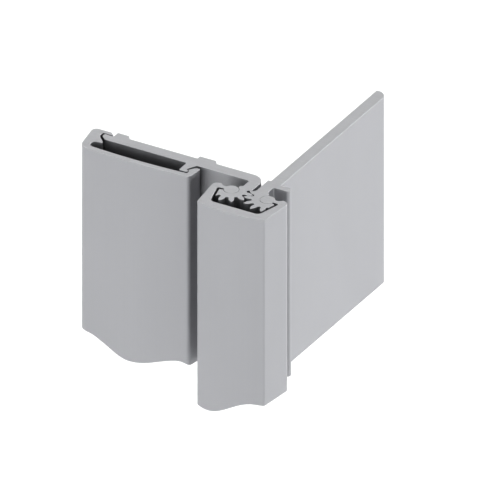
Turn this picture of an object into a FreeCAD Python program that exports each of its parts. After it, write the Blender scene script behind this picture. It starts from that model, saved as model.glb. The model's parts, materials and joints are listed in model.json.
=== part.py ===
import FreeCAD, Part
import math
import os
import re
import Sketcher
from FreeCAD import Vector

# Geared continuous hinge, half-surface pattern, shown as one short length.
# Two aluminium leaves end in gear segments that mesh. Each leaf turns on a bead
# inside a C-shaped cap, and the teeth keep both leaves at equal angles to the cap.
#
# Frame: the origin is the middle of the frame leaf's mounting face. +X is that
# face's outward normal, +Y points into the wall, away from the room, and +Z runs up
# along the hinge. Every leaf section below is drawn about its own pivot axis, and
# the cap and what it holds are drawn about the middle between the two pivots. Their
# own z = 0 is the flat part of the lower end.

SIZES = {
    # whole hinge
    "section_height": 51.0,
    "axis_gap": 10.0,
    "face_to_middle": 4.3,
    "lip_rear": 7.45,
    # gear teeth
    "tooth_count": 12,
    "pressure_angle": 23.0,
    "tip_radius": 5.95,
    "root_radius": 3.8,
    "root_round_depth": 0.4,
    "backlash": 0.16,
    # bead and socket
    "bead_radius": 1.84,
    "socket_clearance": 0.07,
    # what both leaves share
    "neck_gap": 0.9,
    "neck_thick": 2.9,
    "leaf_front": 5.75,
    "nose_side": 0.95,
    "nose_top": 2.45,
    "nose_shoulder": 2.9,
    "inner_round": 0.5,
    "hook_gap": 0.62,
    "hook_top": 1.25,
    "hook_round": 0.3,
    # frame leaf
    "leaf_thick": 3.1,
    "leaf_reach": 58.6,
    "leaf_step": 8.2,
    "leaf_tip_round": 2.6,
    "leaf_edge_round": 0.4,
    "lip_reach": 3.2,
    "lip_round": 0.8,
    # door leaf
    "plate_thick": 3.1,
    "bend_round": 3.3,
    "pad_height": 1.2,
    "pad_slope": 0.9,
    "inner_pad_start": 10.0,
    "inner_pad_width": 4.4,
    "outer_pad_start": 33.9,
    "outer_pad_width": 3.05,
    "end_thinning": 0.8,
    "end_width": 2.6,
    "end_nose": 1.15,
    "end_bevel": 1.3,
    "rib_place": 15.6,
    "rib_root": 2.85,
    "rib_waist": 1.5,
    "waist_depth": 2.55,
    "rib_depth": 3.8,
    "foot_reach": 0.92,
    "foot_rise": 0.75,
    "foot_toe": 0.5,
    "edge_round": 0.15,
    # clip-on leaf cover
    "cavity_depth": 4.9,
    "cover_wall": 1.38,
    "cover_crown": 0.65,
    "cover_lean": 1.5,
    "cover_side": 1.8,
    "cover_front_round": 2.7,
    "cover_back_round": 1.3,
    "leg_side_round": 1.1,
    "end_gap": 0.45,
    "hook_seat_gap": 0.3,
    "hook_thick": 1.1,
    "hook_point_gap": 0.2,
    "hook_slant": 1.15,
    "cavity_end_height": 2.25,
    "cavity_end_round": 1.0,
    "barb_reach": 2.65,
    "barb_lift": 0.25,
    "barb_back": 2.7,
    "leg_gap": 0.13,
    "leg_thick": 1.4,
    "leg_height": 4.75,
    "leg_lean": 0.5,
    "leg_tip": 1.1,
    "leg_barb": 0.57,
    "leg_barb_gap": 0.06,
    # gear cap
    "cap_half_back": 10.42,
    "cap_half_front": 9.25,
    "cap_depth": 9.0,
    "cap_crown": 1.2,
    "cap_bump": 1.45,
    "bump_round": 1.6,
    "bump_inner": 8.35,
    "valley_outer": 7.75,
    "valley_level": 0.72,
    "lip_under": 0.5,
    "channel_half_back": 8.45,
    "channel_half_front": 6.7,
    "channel_depth": 7.2,
    "channel_round": 1.6,
    "cap_corner_round": 0.6,
    # thrust bearing and its set screw
    "bearing_height": 13.0,
    "bearing_level": 12.5,
    "bearing_end_gap": 0.1,
    "bearing_clearance": 0.15,
    "bearing_top": 2.3,
    "bearing_neck": 3.0,
    "notch_top": 2.6,
    "screw_radius": 2.0,
    "screw_length": 6.0,
    "screw_point": 0.8,
    "screw_fit": 0.05,
    "hex_across": 2.0,
    "hex_depth": 2.5,
    # wavy lower end, where the length is broken off
    "crest_place": 45.75,
    "crest_rise": 0.8,
    "crest_spread": 5.6,
    "door_dip_place": 32.8,
    "door_dip": 3.8,
    "door_dip_left": 10.8,
    "door_dip_right": 15.5,
    "cap_dip_place": 6.6,
    "cap_dip": 5.1,
    "cap_dip_left": 13.7,
    "cap_dip_right": 13.7,
    "frame_leaf_rise": 0.15,
    "stock_below": 6.5,
}

doc = FreeCAD.newDocument("continuous_hinge")
sheet = doc.addObject("Spreadsheet::Sheet", "Sizes")
for row, (alias, number) in enumerate(SIZES.items(), start=1):
    sheet.set(f"A{row}", alias)
    sheet.set(f"B{row}", str(number))
    sheet.setAlias(f"B{row}", alias)
doc.recompute()

ALIAS = re.compile(r"\b(" + "|".join(SIZES) + r")\b")


def bound(text):
    """The expression that reads the named sizes of the text from the sheet."""
    return ALIAS.sub(r"Sizes.\1", str(text))


def size(text):
    """The present value of an expression in the named sizes."""
    result = sheet.evalExpression(bound(text))
    return float(getattr(result, "Value", result))


# Lines that several pieces share, as expressions in the named sizes
half_axes = "(axis_gap / 2)"
neck_outer = f"({half_axes} - neck_gap / 2)"
neck_inner = f"({neck_outer} - neck_thick)"
socket_radius = "(bead_radius + socket_clearance)"
bar_length = "(section_height + stock_below)"
plate_back = "(leaf_front + plate_thick)"
end_back = f"({plate_back} - end_thinning)"
outer_pad_end = "(outer_pad_start + outer_pad_width)"
end_reach = f"({outer_pad_end} + end_width)"
rib_foot = "(leaf_front - rib_depth)"
rib_waist_level = "(leaf_front - waist_depth)"
foot_tip = "(rib_place - rib_waist - foot_reach)"
pivot_y = "-((lip_rear + leaf_reach) / 2)"
lower_end = "-(section_height / 2)"
channel_slant = "((channel_half_back - channel_half_front) / (channel_depth - lip_under))"


def origin_part(body, role):
    """The body's own origin plane or axis of that role."""
    return next(item for item in body.Origin.OriginFeatures if item.Role == role)


def new_body(label, x_place):
    """A sub-part that is drawn about its own axis and placed by the sheet."""
    body = doc.addObject("PartDesign::Body", label)
    body.Label = label
    body.setExpression(".Placement.Base.x", bound(x_place))
    body.setExpression(".Placement.Base.y", bound(pivot_y))
    body.setExpression(".Placement.Base.z", bound(lower_end))
    return body


def new_sketch(body, name, level="-stock_below", plane="XY_Plane"):
    """A sketch on one of the body's origin planes, lifted to a level."""
    sketch = body.newObject("Sketcher::SketchObject", f"{body.Label}_{name}")
    sketch.AttachmentSupport = [(origin_part(body, plane), "")]
    sketch.MapMode = "FlatFace"
    sketch.setExpression(".AttachmentOffset.Base.z", bound(level))
    return sketch


def pin_point(sketch, index, end, x_text, y_text):
    """Ties a point of the sketch to its two named distances from the origin."""
    for kind, text in (("DistanceX", x_text), ("DistanceY", y_text)):
        row = sketch.addConstraint(
            Sketcher.Constraint(kind, -1, 1, index, end, size(text)))
        sketch.setExpression(f"Constraints[{row}]", bound(text))


def tie_radius(sketch, index, text):
    """Ties the radius of an arc or circle to an expression."""
    row = sketch.addConstraint(Sketcher.Constraint("Radius", index, size(text)))
    sketch.setExpression(f"Constraints[{row}]", bound(text))


def add_circle(sketch, x_text, y_text, radius_text):
    """A full circle, its centre and radius tied to expressions."""
    centre = Vector(size(x_text), size(y_text), 0)
    index = sketch.addGeometry(Part.Circle(centre, Vector(0, 0, 1), size(radius_text)))
    pin_point(sketch, index, 3, x_text, y_text)
    tie_radius(sketch, index, radius_text)


def corner_arc(before, corner, after, radius):
    """The arc that rounds a corner, where it starts and ends, and its turn."""
    back = (before - corner).normalize()
    ahead = (after - corner).normalize()
    half = math.acos(max(-1.0, min(1.0, back.dot(ahead)))) / 2
    start = corner + back * (radius / math.tan(half))
    end = corner + ahead * (radius / math.tan(half))
    centre = corner + (back + ahead).normalize() * (radius / math.sin(half))
    left_turn = back.cross(ahead).z < 0
    first, last = (start, end) if left_turn else (end, start)
    circle = Part.Circle(centre, Vector(0, 0, 1), radius)
    arc = Part.ArcOfCircle(circle, circle.parameter(first), circle.parameter(last))
    return arc, start, end, left_turn


def crown_arc(start, end, radius):
    """The shallow arc from start to end whose centre lies to its left."""
    chord = end - start
    half = chord.Length / 2
    left = Vector(-chord.y, chord.x, 0).normalize()
    centre = start + chord / 2 + left * math.sqrt(radius ** 2 - half ** 2)
    circle = Part.Circle(centre, Vector(0, 0, 1), radius)
    return Part.ArcOfCircle(circle, circle.parameter(start), circle.parameter(end))


def draw_outline(sketch, corners, crowns=()):
    """Closes an outline through corners (x, y, round).

    Each corner is tied to its named distances. A corner with a round gets an arc
    that is tangent to both of its edges. crowns maps the number of a corner to the
    radius of the arc that leaves it in place of a straight edge, and a negative
    radius puts the centre of that arc on the right.
    """
    crowns = dict(crowns)
    count = len(corners)
    points = [Vector(size(corner[0]), size(corner[1]), 0) for corner in corners]
    leave = list(points)
    reach = list(points)
    rounds = {}
    for number, corner in enumerate(corners):
        if len(corner) == 3:
            arc, start, end, left_turn = corner_arc(
                points[number - 1], points[number], points[(number + 1) % count],
                size(corner[2]))
            rounds[number] = (sketch.addGeometry(arc), left_turn)
            reach[number], leave[number] = start, end
    edges = []
    for number in range(count):
        following = (number + 1) % count
        if number not in crowns:
            edge = Part.LineSegment(leave[number], reach[following])
            edges.append((sketch.addGeometry(edge), 1, 2))
        elif size(crowns[number]) > 0:
            edge = crown_arc(leave[number], reach[following], size(crowns[number]))
            edges.append((sketch.addGeometry(edge), 1, 2))
        else:
            edge = crown_arc(reach[following], leave[number], -size(crowns[number]))
            edges.append((sketch.addGeometry(edge), 2, 1))
    for number, corner in enumerate(corners):
        before, _, before_end = edges[number - 1]
        after, after_start, _ = edges[number]
        if number in rounds:
            arc, left_turn = rounds[number]
            arc_start, arc_end = (1, 2) if left_turn else (2, 1)
            sketch.addConstraint(
                Sketcher.Constraint("Tangent", before, before_end, arc, arc_start))
            sketch.addConstraint(
                Sketcher.Constraint("Tangent", arc, arc_end, after, after_start))
            tie_radius(sketch, arc, corner[2])
            mark = sketch.addGeometry(Part.Point(points[number]), True)
            sketch.addConstraint(Sketcher.Constraint("PointOnObject", mark, 1, before))
            sketch.addConstraint(Sketcher.Constraint("PointOnObject", mark, 1, after))
            pin_point(sketch, mark, 1, corner[0], corner[1])
        else:
            sketch.addConstraint(
                Sketcher.Constraint("Coincident", before, before_end, after, after_start))
            pin_point(sketch, after, after_start, corner[0], corner[1])
    for number, text in crowns.items():
        tie_radius(sketch, edges[number][0], text.lstrip("-"))


def solid_volume(body):
    """The volume of the body so far."""
    doc.recompute()
    return body.Shape.Volume if body.Shape and not body.Shape.isNull() else 0.0


def pad(body, sketch, length=bar_length):
    """Extrudes a sketch upwards and checks that the solid grew."""
    before = solid_volume(body)
    feature = body.newObject("PartDesign::Pad", f"{sketch.Label}_pad")
    feature.Profile = sketch
    feature.setExpression("Length", bound(length))
    body.Tip = feature
    if not solid_volume(body) > before:
        raise RuntimeError(f"{feature.Label} added nothing")
    return feature


def pocket(body, sketch, through=True, length=None, symmetric=False):
    """Cuts a sketch out of the body and checks that the solid shrank."""
    before = solid_volume(body)
    feature = body.newObject("PartDesign::Pocket", f"{sketch.Label}_pocket")
    feature.Profile = sketch
    if through:
        feature.Type = "ThroughAll"
    else:
        feature.setExpression("Length", bound(length))
    feature.Reversed = not symmetric
    if symmetric:
        feature.SideType = "Symmetric"
    body.Tip = feature
    if not solid_volume(body) < before:
        raise RuntimeError(f"{feature.Label} cut nothing")
    return feature


# Gear segment: a full ring of involute gaps, cut back to the stretch that meshes

def involute(angle):
    """Involute function of an angle in radians."""
    return math.tan(angle) - angle


def gap_half_angle(radius):
    """Half of the angle between two teeth's flanks at a radius, in radians."""
    teeth = size("tooth_count")
    pitch_radius = size("axis_gap") / 2
    pressure = math.radians(size("pressure_angle"))
    base_radius = pitch_radius * math.cos(pressure)
    flank = math.acos(min(1.0, base_radius / radius))
    thinning = size("backlash") / (4 * pitch_radius)
    tooth_half = math.pi / (2 * teeth) - thinning + involute(pressure) - involute(flank)
    return math.pi / teeth - tooth_half


def draw_tooth_gap(sketch, middle_angle):
    """One gap between teeth: two involute flanks and a round bottom.

    middle_angle is the direction of the gap's middle in degrees. Points lie at
    (radius, angle) from the pivot, and each flank runs out past the tip circle.
    """
    middle = math.radians(middle_angle)
    root = size("root_radius")
    round_start = root + size("root_round_depth")
    past_tip = size("tip_radius") + size("backlash")
    steps = 7

    def at(radius, angle):
        return Vector(radius * math.cos(angle), radius * math.sin(angle), 0)

    def flank(side):
        radii = [round_start + (past_tip - round_start) * step / (steps - 1)
                 for step in range(steps)]
        curve = Part.BSplineCurve()
        curve.interpolate([at(r, middle + side * gap_half_angle(r)) for r in radii])
        return curve

    low, high = flank(-1), flank(1)
    bottom = Part.Arc(high.StartPoint, at(root, middle), low.StartPoint)
    outside = Part.Arc(low.EndPoint, at(past_tip, middle), high.EndPoint)
    for curve in (low, outside, high, bottom):
        sketch.addGeometry(curve)
    for first, first_end, second, second_end in ((0, 2, 1, 1), (1, 2, 2, 2)):
        sketch.addConstraint(
            Sketcher.Constraint("Coincident", first, first_end, second, second_end))
    sketch.addConstraint(Sketcher.Constraint("Block", 0))
    sketch.addConstraint(Sketcher.Constraint("Block", 2))


def make_gear_segment(body, mirror, gap_angle, open_level):
    """The toothed end of a leaf, about its pivot.

    mirror is 1 for the leaf on the left of the cap and -1 for the one on the right.
    open_level is the height above which the neck's face bounds the segment.
    """
    sketch = new_sketch(body, "gear_blank")
    add_circle(sketch, "0", "0", "tip_radius")
    pad(body, sketch)

    sketch = new_sketch(body, "tooth_gap")
    draw_tooth_gap(sketch, gap_angle)
    gap = pocket(body, sketch)
    pattern = body.newObject("PartDesign::PolarPattern", f"{body.Label}_teeth")
    pattern.Originals = [gap]
    pattern.Axis = (origin_part(body, "Z_Axis"), [""])
    pattern.Angle = 360
    pattern.setExpression("Occurrences", bound("tooth_count"))
    body.Tip = pattern
    doc.recompute()

    def side(text):
        return text if mirror > 0 else f"-({text})"

    inset = "edge_round"
    hook_top_x = (f"-(channel_half_back - {half_axes} - hook_gap"
                  f" - {channel_slant} * (hook_top - lip_under))")
    hook_foot_x = f"-(channel_half_front - {half_axes} - hook_gap)"
    beyond = "(tip_radius + axis_gap)"
    keep = [
        (side("0"), "0"),
        (side(f"nose_side + {inset}"), "nose_side"),
        (side(f"nose_side + {inset}"), f"nose_top - {inset}"),
        (side(f"{neck_inner} + {inset}"), f"nose_shoulder - {inset}"),
        (side(f"{neck_inner} + {inset}"), "leaf_front - neck_gap"),
        (side(neck_outer), "leaf_front - neck_gap"),
        (side(neck_outer), open_level),
        (side("tip_radius + neck_gap"), open_level),
        (side("tip_radius + neck_gap"), "-channel_depth"),
        (side(hook_foot_x), "-channel_depth"),
        (side(hook_top_x), "-hook_top", "hook_round"),
        (side(f"-{socket_radius} + hook_round"), "-(hook_top - hook_round)"),
    ]
    sketch = new_sketch(body, "segment_limits")
    draw_outline(sketch, keep)
    draw_outline(sketch, [
        (f"-{beyond}", f"-{beyond}"),
        (beyond, f"-{beyond}"),
        (beyond, beyond),
        (f"-{beyond}", beyond),
    ])
    pocket(body, sketch)


def cut_socket(body):
    """The round channel that the cap's bead turns in."""
    sketch = new_sketch(body, "socket")
    add_circle(sketch, "0", "0", socket_radius)
    pocket(body, sketch)


def cut_bearing_notch(body):
    """The milled notch that takes the thrust bearing."""
    height = "(bearing_height + 2 * bearing_end_gap)"
    sketch = new_sketch(body, "bearing_notch", "bearing_level - bearing_end_gap")
    across = "(axis_gap + tip_radius)"
    draw_outline(sketch, [
        (f"-{across}", "-channel_depth"),
        (across, "-channel_depth"),
        (across, "notch_top"),
        (f"-{across}", "notch_top"),
    ])
    pocket(body, sketch, through=False, length=height)


# Wavy lower end

def raised_cosine(distance, left, right):
    """A smooth hump: 1 at no distance, 0 from left or right of it outwards."""
    share = abs(distance) / (left if distance < 0 else right)
    return (1 + math.cos(math.pi * share)) / 2 if share < 1 else 0.0


def break_height(x_middle):
    """Height of the lower end at a place along X from the middle of the hinge."""
    crest = size("crest_rise") * raised_cosine(
        x_middle + size("crest_place"), size("crest_spread"), size("crest_spread"))
    door_dip = size("door_dip") * raised_cosine(
        x_middle + size("door_dip_place"), size("door_dip_left"), size("door_dip_right"))
    cap_dip = size("cap_dip") * raised_cosine(
        x_middle + size("cap_dip_place"), size("cap_dip_left"), size("cap_dip_right"))
    return crest - door_dip - cap_dip


def cut_flat_end(body, level_text):
    """Cuts the stock below a flat lower end off a bar."""
    across = "(leaf_reach + axis_gap)"
    sketch = new_sketch(body, "lower_end")
    draw_outline(sketch, [
        (f"-{across}", f"-{across}"),
        (across, f"-{across}"),
        (across, across),
        (f"-{across}", across),
    ])
    pocket(body, sketch, through=False, length=f"stock_below + {level_text}")


def cut_lower_end(body, x_middle_text):
    """Cuts the stock below the wavy lower end off a bar.

    x_middle_text is where the body's own origin lies from the middle of the hinge.
    The curve passes through the height formula at even steps.
    """
    shift = size(x_middle_text)
    doc.recompute()
    box = body.Shape.BoundBox
    place = body.Placement.Base.x
    margin = 1.0
    first = box.XMin - place - margin
    last = box.XMax - place + margin
    spacing = 1.5
    count = max(4, int((last - first) / spacing) + 1)
    stations = [first + (last - first) * step / (count - 1) for step in range(count)]
    curve = Part.BSplineCurve()
    curve.interpolate([Vector(x, break_height(x + shift), 0) for x in stations])
    bottom = -size("stock_below") - margin
    sketch = new_sketch(body, "lower_end", "0", "XZ_Plane")
    sketch.addGeometry(curve)
    sketch.addGeometry(Part.LineSegment(curve.EndPoint, Vector(last, bottom, 0)))
    sketch.addGeometry(Part.LineSegment(Vector(last, bottom, 0), Vector(first, bottom, 0)))
    sketch.addGeometry(Part.LineSegment(Vector(first, bottom, 0), curve.StartPoint))
    sketch.addConstraint(Sketcher.Constraint("Block", 0))
    for number in range(3):
        sketch.addConstraint(Sketcher.Constraint("Coincident", number, 2, number + 1, 1))
    sketch.addConstraint(Sketcher.Constraint("Coincident", 3, 2, 0, 1))
    sketch.addConstraint(Sketcher.Constraint("Vertical", 1))
    sketch.addConstraint(Sketcher.Constraint("Horizontal", 2))
    sketch.addConstraint(Sketcher.Constraint("Vertical", 3))
    row = sketch.addConstraint(Sketcher.Constraint("DistanceY", -1, 1, 1, 2, bottom))
    sketch.setExpression(f"Constraints[{row}]", bound(f"-(stock_below + {margin})"))
    pocket(body, sketch, symmetric=True)


# The pieces

frame_axis = f"{half_axes} - face_to_middle"
door_axis = f"-{half_axes} - face_to_middle"


def make_frame_leaf():
    """Flat leaf for the door frame, with its alignment lip."""
    body = new_body("frame_leaf", frame_axis)
    tooth_step = 360 / size("tooth_count")
    make_gear_segment(body, -1, 6 * tooth_step, "nose_top - 0.35")
    face = f"(face_to_middle - {half_axes})"
    neck_foot = "nose_side + hook_round"
    fillet_top = "nose_top + hook_round"
    corners = [
        (f"-{neck_outer}", neck_foot),
        (f"-({neck_outer} + neck_gap / 2)", "nose_top - 0.6"),
        (f"-{neck_outer}", fillet_top, "hook_round"),
        (f"-{neck_outer}", "leaf_step", "edge_round"),
        (f"{face} - leaf_thick", "leaf_step", "edge_round"),
        (f"{face} - leaf_thick", "leaf_reach", "leaf_edge_round"),
        (face, "leaf_reach", "leaf_tip_round"),
        (face, "lip_rear", "edge_round"),
        (f"{face} + lip_reach", "lip_rear", "lip_round"),
        (f"{face} + lip_reach", "leaf_front", "lip_round"),
        (f"-{neck_inner}", "leaf_front", "inner_round"),
        (f"-{neck_inner}", "nose_shoulder", "edge_round"),
        ("-nose_side", "nose_top", "edge_round"),
        ("-nose_side", "nose_side"),
        ("-bead_radius", "nose_side"),
    ]
    sketch = new_sketch(body, "section")
    draw_outline(sketch, corners)
    pad(body, sketch)
    cut_socket(body)
    cut_bearing_notch(body)
    cut_flat_end(body, "frame_leaf_rise")
    return body


def make_door_leaf():
    """Leaf for the door's face, with its two rear pads and the cover's catches."""
    body = new_body("door_leaf", door_axis)
    tooth_step = 360 / size("tooth_count")
    make_gear_segment(body, 1, tooth_step / 2, "nose_side + 0.25")
    pad_back = f"({plate_back} + pad_height)"
    inner_pad_end = "(inner_pad_start + inner_pad_width)"
    corners = [
        (neck_outer, "nose_side + 1.05"),
        (neck_outer, plate_back, "bend_round"),
        ("-(inner_pad_start - pad_slope)", plate_back, "edge_round"),
        ("-inner_pad_start", pad_back, "edge_round"),
        (f"-{inner_pad_end}", pad_back, "edge_round"),
        (f"-{inner_pad_end}", plate_back, "edge_round"),
        ("-(outer_pad_start - pad_slope)", plate_back, "edge_round"),
        ("-outer_pad_start", pad_back, "edge_round"),
        (f"-{outer_pad_end}", pad_back, "edge_round"),
        (f"-{outer_pad_end}", end_back, "edge_round"),
        (f"-{end_reach}", end_back, "inner_round"),
        (f"-{end_reach} + edge_round", f"{end_back} - end_nose", "inner_round"),
        (f"-{end_reach} + edge_round + end_bevel", "leaf_front", "inner_round"),
        ("-rib_place", "leaf_front", "inner_round"),
        ("-rib_place", rib_foot, "inner_round"),
        (f"-({foot_tip} + foot_toe)", rib_foot, "edge_round"),
        (f"-{foot_tip}", f"{rib_foot} + foot_toe", "edge_round"),
        ("-(rib_place - rib_waist)", f"{rib_foot} + foot_toe + foot_rise", "edge_round"),
        ("-(rib_place - rib_root)", "leaf_front", "inner_round"),
        (neck_inner, "leaf_front", "inner_round"),
        (neck_inner, "nose_shoulder", "edge_round"),
        ("nose_side", "nose_top", "edge_round"),
        ("nose_side", "nose_side"),
        ("bead_radius", "nose_side"),
    ]
    sketch = new_sketch(body, "section")
    draw_outline(sketch, corners)
    pad(body, sketch)
    cut_socket(body)
    cut_bearing_notch(body)
    cut_lower_end(body, f"-{half_axes}")
    return body


def make_leaf_cover():
    """Clip-on cover of the door leaf: one hooked edge and one barbed leg."""
    body = new_body("leaf_cover", door_axis)
    inside_left = f"({end_reach} + end_gap)"
    hook_seat = f"({end_back} + hook_seat_gap)"
    hook_back = f"({hook_seat} + hook_thick)"
    leg_left = f"({foot_tip} - leg_gap)"
    leg_right = f"({leg_left} - leg_thick)"
    inside_front = "(leaf_front - cavity_depth + cover_crown)"
    outside_front = f"({inside_front} - cover_wall)"
    outside_left = f"({inside_left} + cover_side)"
    leg_barb_level = f"({rib_foot} + foot_toe + leg_barb_gap)"
    width = f"({outside_left} - {leg_right})"
    crown_radius = f"(({width} / 2) ^ 2 + cover_crown ^ 2) / (2 * cover_crown)"
    inner_crown_radius = f"({crown_radius} - cover_wall)"
    cavity_end = f"({inside_front} + cavity_end_height)"
    corners = [
        (f"-{outside_left}", outside_front, "cover_front_round"),
        (f"-{leg_right}", outside_front, "leg_side_round"),
        (f"-({leg_right} - leg_lean)", "leg_height", "leg_tip * 0.4"),
        (f"-({leg_right} - leg_lean + leg_tip)", "leg_height", "leg_tip * 0.35"),
        (f"-({leg_left} + leg_barb)", f"{leg_barb_level} + leg_barb", "edge_round / 2"),
        (f"-{leg_left}", leg_barb_level, "edge_round / 2"),
        (f"-{leg_left}", inside_front),
        (f"-{inside_left}", inside_front, "cavity_end_round"),
        (f"-{inside_left}", cavity_end, "cavity_end_round"),
        (f"-({inside_left} - barb_reach)", f"{cavity_end} + barb_lift", "leaf_edge_round"),
        (f"-{inside_left}", f"{cavity_end} + barb_lift + barb_back", "cavity_end_round"),
        (f"-{inside_left}", hook_seat, "edge_round"),
        (f"-({outer_pad_end} + hook_point_gap)", hook_seat, "edge_round"),
        (f"-({outer_pad_end} + hook_point_gap + hook_slant)", hook_back, "edge_round"),
        (f"-({outside_left} + cover_lean)", hook_back, "cover_back_round"),
    ]
    sketch = new_sketch(body, "section")
    draw_outline(sketch, corners, {0: crown_radius, 6: f"-{inner_crown_radius}"})
    pad(body, sketch)
    cut_lower_end(body, f"-{half_axes}")
    return body


def make_gear_cap():
    """C-shaped cap whose two inward lips end in the beads that the leaves turn on."""
    body = new_body("gear_cap", "-face_to_middle")
    crown_radius = "(cap_half_front ^ 2 + cap_crown ^ 2) / (2 * cap_crown)"
    corners = [
        ("0", "-(cap_depth + cap_crown)"),
        ("cap_half_front", "-cap_depth", "cap_corner_round"),
        ("cap_half_back", "cap_bump", "bump_round"),
        ("bump_inner", "cap_bump", "leaf_edge_round"),
        ("valley_outer", "valley_level", "leaf_edge_round"),
        (half_axes, "valley_level"),
        (half_axes, "-lip_under"),
        ("channel_half_back", "-lip_under", "inner_round"),
        ("channel_half_front", "-channel_depth", "channel_round"),
        ("0", "-channel_depth"),
    ]
    sketch = new_sketch(body, "half_section")
    draw_outline(sketch, corners, {0: crown_radius})
    wall = pad(body, sketch)
    sketch = new_sketch(body, "bead")
    add_circle(sketch, half_axes, "0", "bead_radius")
    bead = pad(body, sketch)
    mirrored = body.newObject("PartDesign::Mirrored", "gear_cap_other_half")
    mirrored.Originals = [wall, bead]
    mirrored.MirrorPlane = (origin_part(body, "YZ_Plane"), [""])
    body.Tip = mirrored
    half_volume = bead.Shape.Volume
    if solid_volume(body) < 1.9 * half_volume:
        raise RuntimeError("the cap's other half is missing")
    cut_lower_end(body, "0")
    return body


def make_thrust_bearing():
    """Moulded block that carries both leaves' weight and keeps them level."""
    body = new_body("thrust_bearing", "-face_to_middle")
    side_slope = channel_slant
    under = "(lip_under + bearing_clearance)"
    corners = [
        ("0", "-(channel_depth - bearing_clearance)"),
        ("channel_half_front - bearing_clearance", "-(channel_depth - bearing_clearance)",
         "channel_round - bearing_clearance"),
        (f"channel_half_back - 1.2 * bearing_clearance - {side_slope} * bearing_clearance",
         f"-{under}", "inner_round"),
        (f"{half_axes} + bead_radius / 2", f"-{under}"),
        (half_axes, "0"),
        ("bearing_neck + edge_round", "bearing_top - inner_round"),
        ("bearing_neck", "bearing_top", "edge_round"),
        ("0", "bearing_top"),
    ]
    sketch = new_sketch(body, "half_section", "bearing_level")
    draw_outline(sketch, corners)
    half = pad(body, sketch, "bearing_height")
    sketch = new_sketch(body, "bead_groove", "bearing_level")
    add_circle(sketch, half_axes, "0", "bead_radius + bearing_clearance")
    groove = pocket(body, sketch)
    mirrored = body.newObject("PartDesign::Mirrored", "thrust_bearing_other_half")
    mirrored.Originals = [half, groove]
    mirrored.MirrorPlane = (origin_part(body, "YZ_Plane"), [""])
    body.Tip = mirrored
    sketch = new_sketch(body, "screw_hole", "0", "XZ_Plane")
    add_circle(sketch, "0", "bearing_level + bearing_height / 2", "screw_radius + screw_fit")
    pocket(body, sketch, symmetric=True)
    return body


def make_set_screw():
    """Headless screw that locks the bearing to the cap: rod, point and hex socket."""
    rod = doc.addObject("Part::Cylinder", "screw_rod")
    rod.setExpression("Radius", bound("screw_radius"))
    rod.setExpression("Height", bound("screw_length - screw_point"))
    point = doc.addObject("Part::Cone", "screw_point_cone")
    point.setExpression("Radius1", bound("screw_radius / 2"))
    point.setExpression("Radius2", bound("screw_radius"))
    point.setExpression("Height", bound("screw_point"))
    point.setExpression(".Placement.Base.z", bound("-screw_point"))
    shank = doc.addObject("Part::Fuse", "screw_shank")
    shank.Base = rod
    shank.Tool = point
    socket = doc.addObject("Part::Prism", "screw_socket")
    socket.Polygon = 6
    socket.setExpression("Circumradius", bound("hex_across / sqrt(3)"))
    socket.setExpression("Height", bound("hex_depth"))
    socket.setExpression(".Placement.Base.z", bound("screw_length - screw_point - hex_depth"))
    screw = doc.addObject("Part::Cut", "bearing_set_screw")
    screw.Base = shank
    screw.Tool = socket
    screw.Label = "bearing_set_screw"
    screw.Placement.Rotation = FreeCAD.Rotation(Vector(1, 0, 0), -90)
    screw.setExpression(".Placement.Base.x", bound("-face_to_middle"))
    screw.setExpression(".Placement.Base.y", bound(f"screw_point - channel_depth + {pivot_y}"))
    screw.setExpression(
        ".Placement.Base.z", bound(f"{lower_end} + bearing_level + bearing_height / 2"))
    return screw


pieces = [
    make_frame_leaf(),
    make_gear_cap(),
    make_thrust_bearing(),
    make_set_screw(),
    make_door_leaf(),
    make_leaf_cover(),
]
doc.recompute()

for item in doc.Objects:
    if "Invalid" in item.State or "Error" in item.State:
        raise RuntimeError(f"{item.Label} failed: {item.State}")
for piece in pieces:
    shape = piece.Shape
    if shape.isNull() or not shape.isValid() or len(shape.Solids) != 1:
        raise RuntimeError(f"{piece.Label} is not one sound solid")

os.makedirs("parts", exist_ok=True)
for piece in pieces:
    piece.Shape.exportStep(os.path.join("parts", f"{piece.Label}.step"))
    box = piece.Shape.BoundBox
    print(f"{piece.Label}: {piece.Shape.Volume:.1f} mm3, "
          f"{box.XLength:.2f} x {box.YLength:.2f} x {box.ZLength:.2f} mm")
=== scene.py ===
# %% [markdown]
# # A short length of geared continuous hinge
#
# The real object is a display cut of a long aluminium door hinge. Two extruded
# leaves end in rows of gear teeth, and a C-shaped cap keeps the teeth in mesh. The
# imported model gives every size, in metres, and this file gives the object its looks:
# first the camera and the light, then the pieces, and last their finishes.

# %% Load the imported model
import json
import math

import bmesh
import bpy
import numpy as np
from mathutils import Matrix, Vector


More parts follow.
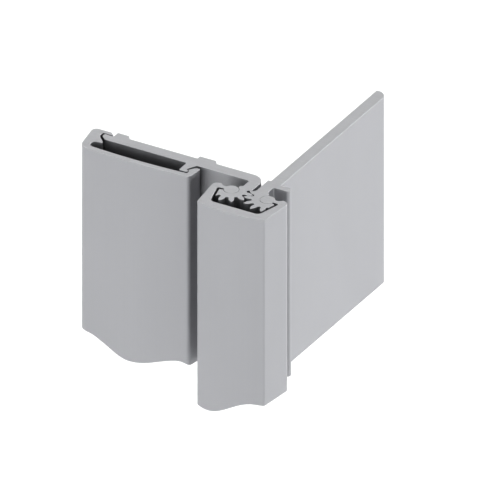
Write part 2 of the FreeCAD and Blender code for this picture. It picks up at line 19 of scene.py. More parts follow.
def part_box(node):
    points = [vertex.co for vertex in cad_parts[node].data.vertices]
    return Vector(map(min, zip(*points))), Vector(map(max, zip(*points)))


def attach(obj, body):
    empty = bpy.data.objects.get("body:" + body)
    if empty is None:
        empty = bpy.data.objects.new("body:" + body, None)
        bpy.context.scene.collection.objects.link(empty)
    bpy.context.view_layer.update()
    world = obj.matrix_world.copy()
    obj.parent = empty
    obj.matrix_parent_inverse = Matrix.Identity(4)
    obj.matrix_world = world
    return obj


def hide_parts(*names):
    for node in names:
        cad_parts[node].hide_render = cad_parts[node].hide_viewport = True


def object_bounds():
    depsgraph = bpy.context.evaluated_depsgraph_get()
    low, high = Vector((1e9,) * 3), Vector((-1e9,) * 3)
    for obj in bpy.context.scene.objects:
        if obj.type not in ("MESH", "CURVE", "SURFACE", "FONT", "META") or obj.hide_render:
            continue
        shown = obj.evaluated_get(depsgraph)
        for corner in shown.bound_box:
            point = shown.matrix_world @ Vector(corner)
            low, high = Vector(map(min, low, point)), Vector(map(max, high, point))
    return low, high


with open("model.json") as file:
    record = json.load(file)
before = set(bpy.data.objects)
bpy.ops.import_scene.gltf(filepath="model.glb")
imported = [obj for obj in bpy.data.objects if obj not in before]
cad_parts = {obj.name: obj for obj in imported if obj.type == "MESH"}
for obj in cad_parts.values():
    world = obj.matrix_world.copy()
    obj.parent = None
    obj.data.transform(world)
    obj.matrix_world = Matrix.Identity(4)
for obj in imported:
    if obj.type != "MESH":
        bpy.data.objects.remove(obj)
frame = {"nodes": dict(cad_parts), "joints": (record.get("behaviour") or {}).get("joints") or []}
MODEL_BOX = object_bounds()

# %% [markdown]
# ## Camera
#
# The picture has no perspective: parallel edges stay parallel on it. So the camera
# is orthographic, turned 30 degrees round the hinge and raised a little under 30.
# A point on the top cut that lies at a known place in the picture sets where it
# looks, and the width of the view follows from the scale of 4.2 pixels a millimetre.

# %% Ways across, up and out of the picture
AZIMUTH = math.radians(30)
ELEVATION = math.asin(0.495)

right = Vector((math.cos(AZIMUTH), math.sin(AZIMUTH), 0))
back = Vector((math.sin(AZIMUTH) * math.cos(ELEVATION),
               -math.cos(AZIMUTH) * math.cos(ELEVATION),
               math.sin(ELEVATION)))
up = back.cross(right)
print("the camera is raised by", round(math.degrees(ELEVATION), 1), "degrees")

# %% Camera at the picture's angle
MM = 0.001
PIXELS_PER_MM = 4.2
PICTURE_SIDE = 500
CAMERA_DISTANCE = 0.6
scene = bpy.context.scene

known_point = Vector((-4.0452, -33.1917, 25.5)) * MM
known_pixel = (250, 195)
look_at = (known_point
           - right * (known_pixel[0] - PICTURE_SIDE / 2) / PIXELS_PER_MM * MM
           - up * (PICTURE_SIDE / 2 - known_pixel[1]) / PIXELS_PER_MM * MM)

camera_data = bpy.data.cameras.new("camera")
camera_data.type = "ORTHO"
camera_data.ortho_scale = PICTURE_SIDE / PIXELS_PER_MM * MM
camera_data.clip_start = 0.01
camera_data.clip_end = 5.0
camera = bpy.data.objects.new("camera", camera_data)
camera.matrix_world = Matrix((
    (right.x, up.x, back.x, 0),
    (right.y, up.y, back.y, 0),
    (right.z, up.z, back.z, 0),
    (0, 0, 0, 1)))
camera.location = look_at + back * CAMERA_DISTANCE
scene.collection.objects.link(camera)
scene.camera = camera
print("view width", round(camera_data.ortho_scale / MM, 2), "mm")

# %% [markdown]
# ## Floor and light
#
# The picture's background is plain white and its hollows are nearly black, so little
# light may come from above the object's sides. A white floor far below sends light up
# at the outer faces, where it can't reach down into the hollows. One lamp straight
# overhead lights the cut ends and the floor, one behind to the right lights the frame
# leaf's outer face, and a weak one, low in front to the left, lights the fronts. The
# picture's dark places are darker than such light leaves them, so the view has a little
# contrast too: a gamma under 1, and an exposure that keeps the faces as they are.

# %% White floor
FLOOR_DROP = 0.25
FLOOR_SIDE = 30.0


def new_finish(name):
    """A new material made of nodes, and the shader in it."""
    material = bpy.data.materials.new(name)
    material.use_nodes = True
    return material, material.node_tree.nodes["Principled BSDF"]


def plain_floor(side, level):
    """A flat square at one level, its corners half a side from the middle each way."""
    half = side / 2
    corners = np.array([[-half, -half], [half, -half], [half, half], [-half, half]])
    vertices = np.column_stack([corners, np.full(4, level)])
    mesh = bpy.data.meshes.new("floor")
    mesh.from_pydata(vertices.tolist(), [], [[0, 1, 2, 3]])
    return mesh


floor_mesh = plain_floor(FLOOR_SIDE, MODEL_BOX[0].z - FLOOR_DROP)
floor = bpy.data.objects.new("floor", floor_mesh)
scene.collection.objects.link(floor)
floor_finish, floor_shader = new_finish("white_floor")
floor_shader.inputs["Base Color"].default_value = (0.96, 0.96, 0.96, 1)
floor_shader.inputs["Roughness"].default_value = 0.9
floor_mesh.materials.append(floor_finish)
print("floor at", round(floor_mesh.vertices[0].co.z / MM, 1), "mm")

# %% A little contrast in the view
scene.view_settings.view_transform = "Standard"
scene.view_settings.gamma = 0.85
scene.view_settings.exposure = 0.178
print("gamma", round(scene.view_settings.gamma, 2))

# %% Room light: pale walls low down, a dark ceiling
WALL_LIGHT = 1.72
WALL_TOP = 0.12
CEILING_START = 0.34
CEILING_SHADE = 0.065

world = bpy.data.worlds.new("pale_room")
world.use_nodes = True
nodes = world.node_tree.nodes
links = world.node_tree.links
direction = nodes.new("ShaderNodeTexCoord")
height = nodes.new("ShaderNodeSeparateXYZ")
shades = nodes.new("ShaderNodeValToRGB")
wall_end, ceiling_end = shades.color_ramp.elements
wall_end.position = WALL_TOP
wall_end.color = (1.0, 1.0, 1.0, 1)
ceiling_end.position = CEILING_START
ceiling_end.color = (CEILING_SHADE, CEILING_SHADE, CEILING_SHADE, 1)
links.new(direction.outputs["Generated"], height.inputs[0])
links.new(height.outputs["Z"], shades.inputs["Fac"])
links.new(shades.outputs["Color"], nodes["Background"].inputs["Color"])
nodes["Background"].inputs["Strength"].default_value = WALL_LIGHT
scene.world = world
print("room light", WALL_LIGHT, "low down and", round(WALL_LIGHT * CEILING_SHADE, 2), "above")

# %% Three lamps


def sun(name, towards_light, strength, softness):
    """A lamp so far off that its light is even, softened over an angle in degrees."""
    data = bpy.data.lights.new(name, "SUN")
    data.energy = strength
    data.angle = math.radians(softness)
    lamp = bpy.data.objects.new(name, data)
    lamp.rotation_mode = "QUATERNION"
    lamp.rotation_quaternion = Vector(towards_light).to_track_quat("Z", "Y")
    scene.collection.objects.link(lamp)
    print(name, "strength", strength)


sun("overhead_lamp", (0, 0, 1), strength=2.47, softness=3)
sun("rear_lamp", (0.5, 0.85, 0.15), strength=1.75, softness=15)
sun("left_lamp", (-0.5, -0.85, 0.17), strength=0.43, softness=40)

# %% [markdown]
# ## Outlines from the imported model
#
# A leaf, the cover and the cap are each pressed hot through a shaped hole in a steel
# die, so one outline runs from end to end. The outline could be typed in again here,
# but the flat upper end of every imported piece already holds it. It is read from there,
# so a piece can't come out at another size than the one it stands for.

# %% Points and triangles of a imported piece
MICRON_DIGITS = 6
PRESSED_NODES = ("frame_leaf", "door_leaf", "leaf_cover", "gear_cap")


def merged_surface(node):
    """The places of a node's points, and its triangles.

    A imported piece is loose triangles, so points that lie within a micron are merged.
    """
    mesh = frame["nodes"][node].data
    places = np.empty(len(mesh.vertices) * 3, np.float32)
    mesh.vertices.foreach_get("co", places)
    corners = np.empty(len(mesh.loops), np.int32)
    mesh.loops.foreach_get("vertex_index", corners)
    places, merged = np.unique(
        places.astype(float).reshape(-1, 3).round(MICRON_DIGITS),
        axis=0, return_inverse=True)
    return places, merged.ravel()[corners].reshape(-1, 3)


for node in PRESSED_NODES:
    print(node, "has", len(merged_surface(node)[0]), "points")

# %% Outline of the upper end
MICRON = 0.001 * MM


def upper_outline(node):
    """A node's flat upper end as a row of points, anticlockwise from above.

    An edge that only one triangle of the end uses lies on the outline, and leads from
    a point to the next one. Hops that double in length count each point's steps to the
    last point, and the points are sorted by those steps.
    """
    places, triangles = merged_surface(node)
    level = places[:, 2].max() - MICRON
    end_face = triangles[(places[triangles, 2] > level).all(axis=1)]
    starts = end_face.ravel()
    stops = np.roll(end_face, -1, axis=1).ravel()
    one_way = starts * len(places) + stops
    other_way = stops * len(places) + starts
    rim = ~np.isin(one_way, other_way)
    order = np.argsort(starts[rim])
    points = starts[rim][order]
    hop = np.searchsorted(points, stops[rim][order])
    last = np.flatnonzero(hop == 0)
    hop[last] = last
    steps = np.ones(len(points), int)
    steps[last] = 0
    for _ in range(len(points).bit_length()):
        steps += steps[hop]
        hop = hop[hop]
    return places[points[np.argsort(-steps)], :2]


for node in PRESSED_NODES:
    print(node, "outline has", len(upper_outline(node)), "points")

# %% [markdown]
# ## Softened corners
#
# No pressed metal has a knife edge. A die wears, and its corners are made with a small
# round from the start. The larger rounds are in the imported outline. Here the last sharp
# corners get a little curve each, which also gives them the thin line of light that
# shows on real metal. A Bevel modifier could do it, but it can't tell a true corner
# from the steps of a small arc as well as the outline's own turn does.

# %% Round the sharp corners
CORNER_ROUND = 0.14 * MM
SHARP_TURN = math.radians(26)
CURVE_POINTS = 5
EDGE_SHARE = 0.4


def unit(rows):
    """Each row divided by its own length, which leaves its direction."""
    return rows / np.linalg.norm(rows, axis=1, keepdims=True)


def edge_ways(outline):
    """The direction of the edge after each point and of the edge before it."""
    after = unit(np.roll(outline, -1, axis=0) - outline)
    return after, np.roll(after, 1, axis=0)


def soft_corners(outline, radius=CORNER_ROUND):
    """The outline with a short curve in place of each sharp corner.

    The curve starts on the edge before the corner and stops on the edge after it, and
    takes no more than a set share of either. At a share s of its way it is (1 - s)
    squared of the start, 2 s (1 - s) of the corner and s squared of the stop.
    """
    after, before = edge_ways(outline)
    turn = np.arccos(np.clip((after * before).sum(axis=1), -1, 1))
    length = np.linalg.norm(np.roll(outline, -1, axis=0) - outline, axis=1)
    room = EDGE_SHARE * np.minimum(length, np.roll(length, 1))
    reach = np.minimum(radius * np.tan(turn / 2), room)
    sharp = turn > SHARP_TURN
    reach = np.where(sharp, reach, 0)[:, None, None]
    share = np.linspace(0, 1, CURVE_POINTS)[None, :, None]
    corner = outline[:, None, :]
    start = corner - before[:, None, :] * reach
    stop = corner + after[:, None, :] * reach
    curve = (1 - share) ** 2 * start + 2 * share * (1 - share) * corner + share ** 2 * stop
    kept = sharp[:, None] | (np.arange(CURVE_POINTS) == 0)[None, :]
    return curve[kept]


for node in PRESSED_NODES:
    print(node, "soft outline has", len(soft_corners(upper_outline(node))), "points")

# %% [markdown]
# ## Two ends
#
# The upper end is sawn square. The lower end is the wavy line where the drawing breaks
# the length off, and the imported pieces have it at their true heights. A wave could be
# typed in as a formula, but then the ends of neighbouring pieces might not match, so
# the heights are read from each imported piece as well.

# %% Heights of the lower end
FOOT_SHARE = 1 / 6
DOWNWARD_SHARE = 0.5


def lower_end(node):
    """Places along X and heights of a node's lower end, in order along X.

    They are the corners of the triangles that look down, near the foot of the piece.
    """
    places, triangles = merged_surface(node)
    first, second, third = (places[triangles[:, side]] for side in range(3))
    across = np.cross(second - first, third - first)
    looks_down = across[:, 2] < -DOWNWARD_SHARE * np.linalg.norm(across, axis=1)
    end = places[np.unique(triangles[looks_down])]
    low, high = places[:, 2].min(), places[:, 2].max()
    end = end[end[:, 2] < low + (high - low) * FOOT_SHARE]
    along, kept = np.unique(end[:, 0].round(MICRON_DIGITS), return_index=True)
    return along, np.maximum(end[kept, 2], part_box(node)[0].z)


for node in PRESSED_NODES:
    along, heights = lower_end(node)
    steepest = np.abs(np.diff(heights) / np.diff(along)).max()
    print(node, "lower end from", round(heights.min() / MM, 2), "to",
          round(heights.max() / MM, 2), "steepest", round(steepest, 2))

# %% [markdown]
# ## From an outline to a length
#
# Each end meets the sides in a small worn edge, about a tenth of a millimetre round. A
# Bevel modifier would cross itself at the tips of the teeth, where the metal is thinner
# than that. So the outline is moved into the metal row by row, and at each point only
# as far as there is room. Upright cuts then divide the long faces, so that the lower
# end can follow its wave.

# %% Room inside the metal
WORN_EDGE = 0.11 * MM
ROOM_USED = 0.8
LEAST_COSINE = 0.5
NEAR_ZERO = 1e-9


def outward_ways(outline):
    """Each point's way out of the metal, and the cosine of half its turn.

    The outline runs anticlockwise, so the mean direction of the two edges at a point,
    turned a quarter to the right, leads out. The cosine is never taken as less than a
    half, so that no sharp corner moves too far.
    """
    after, before = edge_ways(outline)
    middle = unit(after + before)
    cosine = np.clip((middle * after).sum(axis=1), LEAST_COSINE, 1)
    return np.column_stack([middle[:, 1], -middle[:, 0]]), cosine


def inward_shares(outline, depth):
    """The share of a depth that each point can move in by and meet nothing.

    A circle that touches the outline at a point, and passes through another one, has a
    radius of their distance squared over twice how far inwards the other one lies. The
    smallest such circle is the room at the point, and four fifths of it are used.
    """
    outwards, _ = outward_ways(outline)
    gaps = outline[None, :, :] - outline[:, None, :]
    inwards = -(gaps * outwards[:, None, :]).sum(axis=2)
    squares = (gaps ** 2).sum(axis=2)
    circles = squares / (2 * np.maximum(inwards, NEAR_ZERO))
    radii = np.where(inwards > NEAR_ZERO, circles, np.inf)
    return np.minimum(1, ROOM_USED * radii.min(axis=1) / depth)


for node in PRESSED_NODES:
    shares = inward_shares(soft_corners(upper_outline(node)), WORN_EDGE)
    print(node, "has", int((shares < 1).sum()), "points with less room than a worn edge")

# %% Rows of points and upright cuts
SLICE = 0.8 * MM


def carried_rows(outline, insets, levels):
    """A grid of points: the outline, once for each level, moved in by its inset.

    A point of a row is the outline's point less its way out times the row's inset, over
    the cosine of half the turn there, so that both its edges move in by the inset.
    Where the metal is thin it goes less far in.
    """
    outwards, cosine = outward_ways(outline)
    moves = insets[:, None] * inward_shares(outline, insets.max()) / cosine
    places = outline[None, :, :] - outwards[None, :, :] * moves[:, :, None]
    heights = np.broadcast_to(levels[:, None], moves.shape)
    return np.concatenate([places, heights[:, :, None]], axis=2)


def slice_upright(mesh, low, high):
    """Cuts a mesh by upright planes across X, one slice apart, from low to high."""
    work = bmesh.new()
    work.from_mesh(mesh)
    cuts = np.arange(math.ceil(low / SLICE), high / SLICE) * SLICE
    for place in cuts:
        bmesh.ops.bisect_plane(
            work, geom=work.verts[:] + work.edges[:] + work.faces[:], dist=MICRON,
            plane_co=(place, 0, 0), plane_no=(1, 0, 0))
    work.to_mesh(mesh)
    work.free()
    print(mesh.name, "is cut across at", len(cuts), "places")


# %% Surface of a grid of points


def closed_grid(name, grid):
    """The surface over a grid of points whose rows are rings, closed at both ends.

    Each point is joined to the next one in its ring, and to its neighbours in the ring
    after. The first ring and the last one are filled with a face each.
    """
    rings, count, _ = grid.shape
    ring, place = np.meshgrid(np.arange(rings - 1), np.arange(count), indexing="ij")
    here = (ring * count + place).ravel()
    beside = (ring * count + (place + 1) % count).ravel()
    sides = np.column_stack([here, here + count, beside + count, beside])
    first = list(range(count))
    last = list(range(rings * count - 1, (rings - 1) * count - 1, -1))
    mesh = bpy.data.meshes.new(name)
    mesh.from_pydata(grid.reshape(-1, 3).tolist(), [], sides.tolist() + [first, last])
    print(name, "has", rings, "rings of", count, "points")
    return mesh


# %% Sweep an outline down to the lower end
EDGE_ROWS = 4


def drawn_mesh(name, outline, top, along, heights, edge_break):
    """The surface that an outline sweeps along Z, closed at both ends.

    Rows of points follow the outline. At each end the rows turn in by a quarter round:
    moved in by the break times 1 - sin(a), and lowered by the break times 1 - cos(a),
    for a from 0 to 90 degrees. Upright cuts then divide the sides and ends, and every
    point of the lower end goes to its own height, read off the line that along and
    heights give.
    """
    angle = np.linspace(0, math.pi / 2, EDGE_ROWS)
    inset = edge_break * (1 - np.sin(angle))
    drop = edge_break * (1 - np.cos(angle))
    low = heights.min()
    insets = np.concatenate([inset, inset[::-1]])
    levels = np.concatenate([top - drop, low + drop[::-1]])
    grid = carried_rows(outline, insets, levels)
    mesh = closed_grid(name, grid)
    slice_upright(mesh, grid[:, :, 0].min(), grid[:, :, 0].max())
    points = np.empty(len(mesh.vertices) * 3, np.float32)
    mesh.vertices.foreach_get("co", points)
    points = points.reshape(-1, 3)
    at_end = points[:, 2] < (top + low) / 2
    points[at_end, 2] += np.interp(points[at_end, 0], along, heights) - low
    mesh.vertices.foreach_set("co", points.ravel())
    mesh.update()
    return mesh


# %% [markdown]
# ## Notch for the bearing
#
# A thrust bearing sits in a notch milled through the teeth of both leaves, out of
# sight inside the cap. The notch is a plain box, so a Boolean cut is the shortest way.
# Its place comes from the bearing's own box and from the pivots.

# %% Cut the bearing notch
NOTCH_END_GAP = 0.1 * MM
NOTCH_SIDE_GAP = 3 * MM
NOTCH_FRONT_GAP = 1 * MM
NOTCH_REAR = 2.6 * MM
PIVOT_Y = frame["joints"][0]["pos_m"][1]


def cut_away(piece, cutter_mesh):
    """Takes a closed mesh's space out of a piece."""
    cutter = bpy.data.objects.new("cutter", cutter_mesh)
    scene.collection.objects.link(cutter)
    cut = piece.modifiers.new("cut", "BOOLEAN")
    cut.object = cutter
    cut.solver = "EXACT"
    after_cut = piece.evaluated_get(bpy.context.evaluated_depsgraph_get())
    cut_mesh = bpy.data.meshes.new_from_object(after_cut)
    piece.modifiers.clear()
    piece.data = cut_mesh
    bpy.data.objects.remove(cutter)


def cut_notch(piece):
    """Takes the bearing's space, with a small gap at each end, out of a leaf's teeth."""
    low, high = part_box("thrust_bearing")
    x = (low.x - NOTCH_SIDE_GAP, high.x + NOTCH_SIDE_GAP)
    y = (low.y - NOTCH_FRONT_GAP, PIVOT_Y + NOTCH_REAR)
    z = (low.z - NOTCH_END_GAP, high.z + NOTCH_END_GAP)
    corners = np.array(np.meshgrid(x, y, z, indexing="ij")).reshape(3, -1).T
    faces = [(0, 1, 3, 2), (4, 6, 7, 5), (0, 4, 5, 1), (2, 3, 7, 6), (0, 2, 6, 4), (1, 5, 7, 3)]
    notch = bpy.data.meshes.new("notch")
    notch.from_pydata(corners.tolist(), [], faces)
    cut_away(piece, notch)
    print(piece.name, "notch is", round((z[1] - z[0]) / MM, 1), "mm tall")


# %% [markdown]
# ## Four pressed lengths
#
# The frame leaf carries the hinge on the door frame, the door leaf turns back along the
# door's face, the cover clips over the door leaf's screws, and the cap holds the two
# rows of teeth together. All four are made by one function from their own outlines,
# as all four come out of a press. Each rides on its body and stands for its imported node.
# Plain smooth shading would smear light over the flat faces, so a weighted-normal
# modifier lets the large faces lead, and only the narrow edges look round.

# %% Shade a piece and put it in its place
SHARP_ANGLE = math.radians(40)


def seat(piece, node, body):
    """Shades a piece by its large faces, and puts it on its body in its node's stead."""
    piece.data.shade_smooth()
    piece.data.set_sharp_from_angle(angle=SHARP_ANGLE)
    shading = piece.modifiers.new("flat_faces_lead", "WEIGHTED_NORMAL")
    shading.mode = "FACE_AREA"
    shading.keep_sharp = True
    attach(piece, body)
    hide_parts(node)
    print(piece.name, len(piece.data.polygons), "faces")
    return piece


# %% Draw the four lengths


def drawn_piece(name, node, body, notched):
    """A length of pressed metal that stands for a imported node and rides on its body."""
    outline = soft_corners(upper_outline(node))
    along, heights = lower_end(node)
    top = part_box(node)[1].z
    mesh = drawn_mesh(name, outline, top, along, heights, WORN_EDGE)
    piece = bpy.data.objects.new(name, mesh)
    scene.collection.objects.link(piece)
    if notched:
        cut_notch(piece)
    return seat(piece, node, body)


frame_leaf = drawn_piece("frame_leaf_length", "frame_leaf", "frame_side", True)
door_leaf = drawn_piece("door_leaf_length", "door_leaf", "door_side", True)
leaf_cover = drawn_piece("leaf_cover_length", "leaf_cover", "door_side", False)
gear_cap = drawn_piece("gear_cap_length", "gear_cap", "cap", False)

# %% [markdown]
# ## Thrust bearing
#
# The bearing is a moulded block with a groove on each side that runs on the cap's
# beads. Its edges are rounder than the metal's, because a mould's are. It is made as
# the lengths are, with a larger worn edge, and a Boolean takes out the screw hole.

# %% Rings round the screw's axis
ROUND_STEPS = 96
screw_low, screw_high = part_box("bearing_set_screw")
screw_middle = (screw_low + screw_high) / 2
SCREW_RADIUS = (screw_high.x - screw_low.x) / 2


def rings_mesh(name, radius, along_y):
    """A surface of rings round the screw's axis, closed at both ends.

    radius is a grid, one row for each ring and one column for each angle, and along_y
    is the place of each ring. A point is the axis plus its radius times cos and sin.
    """
    angle = np.linspace(0, 2 * math.pi, radius.shape[1], endpoint=False)[None, :]
    return closed_grid(name, np.stack([
        screw_middle.x + radius * np.cos(angle),
        np.broadcast_to(np.asarray(along_y)[:, None], radius.shape),
        screw_middle.z + radius * np.sin(angle)], axis=-1))


print("the screw is", round(2 * SCREW_RADIUS / MM, 2), "mm thick")

# %% Mould the bearing
MOULD_CORNER = 0.4 * MM
MOULD_EDGE = 0.3 * MM
SCREW_FIT = 0.05 * MM


def moulded_bearing():
    """The bearing block, with the hole that its screw runs in."""
    low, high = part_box("thrust_bearing")
    outline = soft_corners(upper_outline("thrust_bearing"), MOULD_CORNER)
    ends = np.array([low.x, high.x])
    foot = np.full(2, low.z)
    mesh = drawn_mesh("thrust_bearing_block", outline, high.z, ends, foot, MOULD_EDGE)
    piece = bpy.data.objects.new("thrust_bearing_block", mesh)
    scene.collection.objects.link(piece)
    hole = np.full((2, ROUND_STEPS), SCREW_RADIUS + SCREW_FIT)
    cut_away(piece, rings_mesh("screw_hole", hole, [low.y - MM, high.y + MM]))
    return seat(piece, "thrust_bearing", "cap")


thrust_bearing = moulded_bearing()

# %% [markdown]
# ## Set screw
#
# The screw is a headless one: a threaded rod with a blunt point and a six-sided socket.
# A Screw modifier could wind the thread, but it would leave its two ends open. Round a
# thread the radius only depends on the angle and on how far along the rod the place is,
# so one grid of radii gives the whole screw, its socket as well.

# %% Radii of the thread
THREAD_PITCH = 0.7 * MM
THREAD_DEPTH = 0.38 * MM
THREAD_STEEPNESS = 2.5
POINT_LENGTH = 0.8 * MM


def thread_radii(rod, angle):
    """Radii of the threaded rod, a row for each place along it.

    The radius is the full one less the thread's depth times a ridge, which goes from 0
    at a crest to 1 at a root and back in each pitch, and winds once round in each
    pitch. Near both ends of the rod it is turned down to the root.
    """
    phase = (rod / THREAD_PITCH - angle / (2 * math.pi)) % 1
    slope = THREAD_STEEPNESS * np.abs(phase - 0.5)
    ridge = np.clip(THREAD_STEEPNESS / 2 - slope, 0, 1)
    from_end = np.minimum(rod - screw_low.y - POINT_LENGTH, screw_high.y - rod)
    turned_down = np.clip(1 - from_end / THREAD_DEPTH, 0, 1) * THREAD_DEPTH
    return SCREW_RADIUS - np.maximum(THREAD_DEPTH * ridge, turned_down)


thread_length = screw_high.y - screw_low.y - POINT_LENGTH
print("the thread has", round(thread_length / THREAD_PITCH, 1), "turns")

# %% Turn the screw
ROD_RINGS = 90
POINT_RADIUS = SCREW_RADIUS / 2
SOCKET_ACROSS = 2.0 * MM
SOCKET_DEPTH = 2.5 * MM
SOCKET_FLARE = 1.04
FLARE_DEPTH = 0.05 * MM
SOCKET_CONE = 0.3 * MM
DRILL_RADIUS = SOCKET_ACROSS / 8
FLAT_ANGLE = math.pi / 3


def threaded_screw():
    """A grid of radii carried round the screw's axis: point, thread, then socket.

    In the socket the radius is half the width across, over the cosine of the angle from
    the middle of the nearest flat.
    """
    angle = np.linspace(0, 2 * math.pi, ROUND_STEPS, endpoint=False)[None, :]
    rod = np.linspace(screw_low.y + POINT_LENGTH, screw_high.y, ROD_RINGS)[:, None]
    point = np.full((1, ROUND_STEPS), POINT_RADIUS)
    from_flat = (angle + FLAT_ANGLE / 2) % FLAT_ANGLE - FLAT_ANGLE / 2
    flats = SOCKET_ACROSS / 2 / np.cos(from_flat)
    drill_tip = np.full((1, ROUND_STEPS), DRILL_RADIUS)
    radius = np.concatenate([
        point, thread_radii(rod, angle), flats * SOCKET_FLARE, flats, flats, drill_tip])
    depths = np.array([0, FLARE_DEPTH, SOCKET_DEPTH, SOCKET_DEPTH + SOCKET_CONE])
    along_y = np.concatenate([[screw_low.y], rod[:, 0], screw_high.y - depths])
    piece = bpy.data.objects.new("set_screw_turned", rings_mesh("set_screw", radius, along_y))
    scene.collection.objects.link(piece)
    return seat(piece, "bearing_set_screw", "cap")


set_screw = threaded_screw()

# %% [markdown]
# ## Patterns for the finishes
#
# Every finish here varies a little over its surface: in tone, in sheen and in relief. A
# picture of real metal wrapped round the parts could show that, but it would smear at
# every edge. Noise on each piece's own coordinates has no seams and moves with the
# piece. These helpers make such a noise and lead it into a shader.

# %% Noise and its range
NOISE_LOW = 0.3
NOISE_HIGH = 0.7


def pattern(material, size, stretch=(1, 1, 1), detail=2.0, turn=0.0):
    """A noise whose grains have the given size, stretched along X, Y and Z."""
    tree = material.node_tree
    place = tree.nodes.new("ShaderNodeTexCoord")
    fit = tree.nodes.new("ShaderNodeMapping")
    fit.inputs["Rotation"].default_value = (0, 0, turn)
    fit.inputs["Scale"].default_value = [1 / (size * share) for share in stretch]
    grain = tree.nodes.new("ShaderNodeTexNoise")
    grain.inputs["Scale"].default_value = 1.0
    grain.inputs["Detail"].default_value = detail
    tree.links.new(place.outputs["Object"], fit.inputs["Vector"])
    tree.links.new(fit.outputs["Vector"], grain.inputs["Vector"])
    return grain.outputs[0]


def spread(material, pattern_value, low, high):
    """A pattern's middle range, stretched to go from a low to a high value."""
    tree = material.node_tree
    reach = tree.nodes.new("ShaderNodeMapRange")
    reach.inputs["From Min"].default_value = NOISE_LOW
    reach.inputs["From Max"].default_value = NOISE_HIGH
    reach.inputs["To Min"].default_value = low
    reach.inputs["To Max"].default_value = high
    tree.links.new(pattern_value, reach.inputs["Value"])
    return reach.outputs["Result"]


# %% Tone and relief


def times(material, first, second):
    """The product of two values."""
    tree = material.node_tree
    product = tree.nodes.new("ShaderNodeMath")
    product.operation = "MULTIPLY"
    tree.links.new(first, product.inputs[0])
    tree.links.new(second, product.inputs[1])
    return product.outputs["Value"]


def toned(material, tone, share):
    """One colour, made lighter or darker by a share that varies over the surface."""
    tree = material.node_tree
    scaled = tree.nodes.new("ShaderNodeVectorMath")
    scaled.operation = "SCALE"
    scaled.inputs[0].default_value = tone
    tree.links.new(share, scaled.inputs["Scale"])
    return scaled.outputs["Vector"]


def raised(material, height, depth, under=None):
    """A normal that follows a pattern of a given depth, over another one if given."""
    tree = material.node_tree
    bump = tree.nodes.new("ShaderNodeBump")
    bump.inputs["Distance"].default_value = depth
    tree.links.new(height, bump.inputs["Height"])
    if under is not None:
        tree.links.new(under, bump.inputs["Normal"])
    return bump.outputs["Normal"]


# %% Lead a finish into its shader


def lead(material, colour, roughness, normal):
    """Leads a colour, a roughness and a normal into a finish's shader."""
    tree = material.node_tree
    shader = tree.nodes["Principled BSDF"]
    tree.links.new(colour, shader.inputs["Base Color"])
    tree.links.new(roughness, shader.inputs["Roughness"])
    tree.links.new(normal, shader.inputs["Normal"])
    print(material.name, "has", len(tree.nodes), "nodes")


# %% [markdown]
# ## Clear-anodised aluminium
#
# A bath etches the pressed metal matte and then grows a clear, hard skin on it. What
# shows is a pale grey metal with a soft sheen, faint lines along its length from the
# die, a very fine grain from the etch, and slow drifts in tone. Three noises of very
# different sizes give the lines, the grain and the drifts, and a thin clear coat
# stands for the skin.

# %% Anodised skin
SKIN_TONE = (0.424, 0.428, 0.446)


def anodised(name):
    """Etched and clear-anodised pressed aluminium, with die lines along Z."""
    material, shader = new_finish(name)
    drift = pattern(material, 14 * MM, stretch=(1, 1, 3))
    die_lines = pattern(material, 0.22 * MM, stretch=(1, 1, 400), detail=3.0)
    etch = pattern(material, 0.05 * MM, detail=1.0)
    share = times(
        material,
        spread(material, drift, 0.988, 1.012),
        spread(material, die_lines, 0.972, 1.028))
    lines = raised(material, die_lines, 5 * MICRON)
    lead(material, toned(material, SKIN_TONE, share),
         spread(material, die_lines, 0.42, 0.58),
         raised(material, etch, 2.5 * MICRON, lines))
    shader.inputs["Metallic"].default_value = 0.5
    shader.inputs["Coat Weight"].default_value = 0.12
    shader.inputs["Coat Roughness"].default_value = 0.4
    return material


leaf_skin = anodised("leaf_anodised")
cover_skin = anodised("cover_anodised")

# %% [markdown]
# ## Cut ends
#
# The lengths are sawn after they are anodised, so an end has no skin on it. It is
# brighter bare metal, with the fine lines that the saw's teeth leave side by side. A
# mask by height in the skin's own nodes could show that, but the lower end is a wave.
# So every face that looks up or down gets a second material, and the worn edge round
# each end is bare metal too.

# %% Sawn metal
CUT_TONE = (0.466, 0.469, 0.482)
SAW_SLANT = math.radians(12)


def sawn(name):
    """Bare aluminium with saw lines across X, a little slanted."""
    material, shader = new_finish(name)
    saw_lines = pattern(
        material, 0.12 * MM, stretch=(60, 1, 1), detail=3.0, turn=SAW_SLANT)
    patches = pattern(material, 3 * MM, detail=3.0)
    share = times(
        material,
        spread(material, saw_lines, 0.94, 1.06),
        spread(material, patches, 0.985, 1.015))
    lead(material, toned(material, CUT_TONE, share),
         spread(material, saw_lines, 0.52, 0.68),
         raised(material, saw_lines, 8 * MICRON))
    shader.inputs["Metallic"].default_value = 0.35
    return material


cut_metal = sawn("sawn_aluminium")

# %% Dress the drawn lengths
END_SLOPE = 0.4


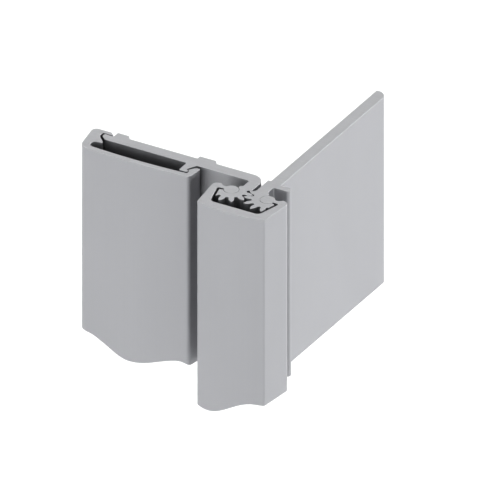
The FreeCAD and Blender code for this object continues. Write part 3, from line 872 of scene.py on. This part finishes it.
def dress(piece, skin, cut):
    """Skin on the drawn sides, bare metal where a face looks up or down."""
    mesh = piece.data
    mesh.materials.clear()
    mesh.materials.append(skin)
    mesh.materials.append(cut)
    normals = np.empty(len(mesh.polygons) * 3, np.float32)
    mesh.polygons.foreach_get("normal", normals)
    bare = np.abs(normals.reshape(-1, 3)[:, 2]) > END_SLOPE
    mesh.polygons.foreach_set("material_index", bare.astype(np.int32))
    mesh.update()
    print(piece.name, "has", int(bare.sum()), "bare faces")


for piece in (frame_leaf, door_leaf):
    dress(piece, leaf_skin, cut_metal)
for piece in (leaf_cover, gear_cap):
    dress(piece, cover_skin, cut_metal)

# %% [markdown]
# ## Moulded bearing and steel screw
#
# The bearing is moulded from acetal, a hard, slippery, milky plastic that lets a little
# light in under its surface. The screw is turned from steel and blackened, so its tone
# is dark grey with fine lines round it. The closed hinge hides both, so each gets the
# plain finish of its kind: a slow noise for its tone and a fine one for its relief.

# %% Acetal
ACETAL_TONE = (0.80, 0.79, 0.74)


def acetal(name):
    """Milky moulded plastic with a faint, fine orange-peel surface."""
    material, shader = new_finish(name)
    clouds = pattern(material, 5 * MM)
    peel = pattern(material, 0.4 * MM)
    lead(material, toned(material, ACETAL_TONE, spread(material, clouds, 0.98, 1.02)),
         spread(material, peel, 0.30, 0.38),
         raised(material, peel, 4 * MICRON))
    shader.inputs["Subsurface Weight"].default_value = 0.15
    shader.inputs["Subsurface Scale"].default_value = 0.6 * MM
    return material


thrust_bearing.data.materials.append(acetal("natural_acetal"))

# %% Dull steel
STEEL_TONE = (0.16, 0.16, 0.165)


def dull_steel(name):
    """Blackened turned steel, with fine lines round the Y axis."""
    material, shader = new_finish(name)
    turned = pattern(material, 0.06 * MM, stretch=(25, 1, 25))
    stains = pattern(material, 1.5 * MM, detail=3.0)
    share = times(
        material,
        spread(material, turned, 0.94, 1.06),
        spread(material, stains, 0.9, 1.1))
    lead(material, toned(material, STEEL_TONE, share),
         spread(material, stains, 0.34, 0.46),
         raised(material, turned, 1.5 * MICRON))
    shader.inputs["Metallic"].default_value = 0.9
    return material


set_screw.data.materials.append(dull_steel("dull_steel"))
